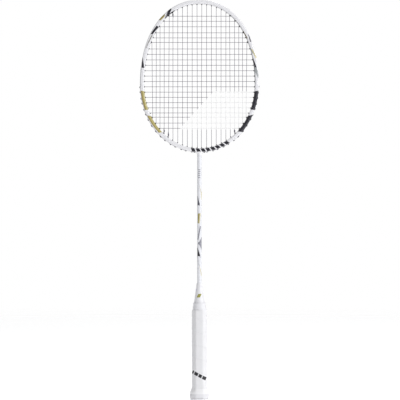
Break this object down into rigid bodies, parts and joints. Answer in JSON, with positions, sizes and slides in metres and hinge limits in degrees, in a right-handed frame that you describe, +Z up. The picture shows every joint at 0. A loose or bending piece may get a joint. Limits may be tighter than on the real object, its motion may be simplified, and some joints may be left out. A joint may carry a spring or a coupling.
{
  "type": "badminton racket",
  "caption": "Light racket with an egg-shaped strung head, a thin round shaft, a flared cone and an octagonal wrapped handle, for hitting a shuttlecock over a net.",
  "frame": {"origin": "middle of the butt's flat end, at the bottom of the upright racket", "axes": "+Z up the shaft to the top of the head, +X across the string bed, -Y out of its front face"},
  "size_m": [0.2024, 0.0288, 0.675],
  "materials": {
    "frame_paint": "gloss",
    "shaft_paint": "gloss",
    "carbon": "satin",
    "plug_foam": "matte",
    "cone_plastic": "gloss",
    "handle_wood": "matte",
    "badge_plastic": "gloss",
    "grip_pu": "matte",
    "tape_vinyl": "satin",
    "tack_steel": "satin",
    "string_nylon": "satin",
    "grommet_nylon": "satin"
  },
  "bodies": {
    "root": {"frame_hoop": "frame_paint", "t_joint": "carbon", "shaft_tube": "shaft_paint", "shaft_end_plug": "plug_foam", "cone_cap": "cone_plastic", "handle_core": "handle_wood", "butt_badge": "badge_plastic", "base_grip": "grip_pu", "finishing_tape": "tape_vinyl", "grip_tack": "tack_steel", "main_string": "string_nylon", "cross_string": "string_nylon", "knot_main_left": "string_nylon", "knot_main_right": "string_nylon", "knot_cross_lower": "string_nylon", "knot_cross_upper": "string_nylon", "grommet_strip_left_01": "grommet_nylon", "grommet_strip_left_02": "grommet_nylon", "grommet_strip_left_03": "grommet_nylon", "grommet_strip_left_04": "grommet_nylon", "grommet_strip_left_05": "grommet_nylon", "grommet_strip_left_06": "grommet_nylon", "grommet_strip_left_07": "grommet_nylon", "grommet_strip_left_08": "grommet_nylon", "grommet_strip_left_09": "grommet_nylon", "grommet_strip_right_01": "grommet_nylon", "grommet_strip_right_02": "grommet_nylon", "grommet_strip_right_03": "grommet_nylon", "grommet_strip_right_04": "grommet_nylon", "grommet_strip_right_05": "grommet_nylon", "grommet_strip_right_06": "grommet_nylon", "grommet_strip_right_07": "grommet_nylon", "grommet_strip_right_08": "grommet_nylon", "grommet_strip_right_09": "grommet_nylon"}
  },
  "joints": []
}
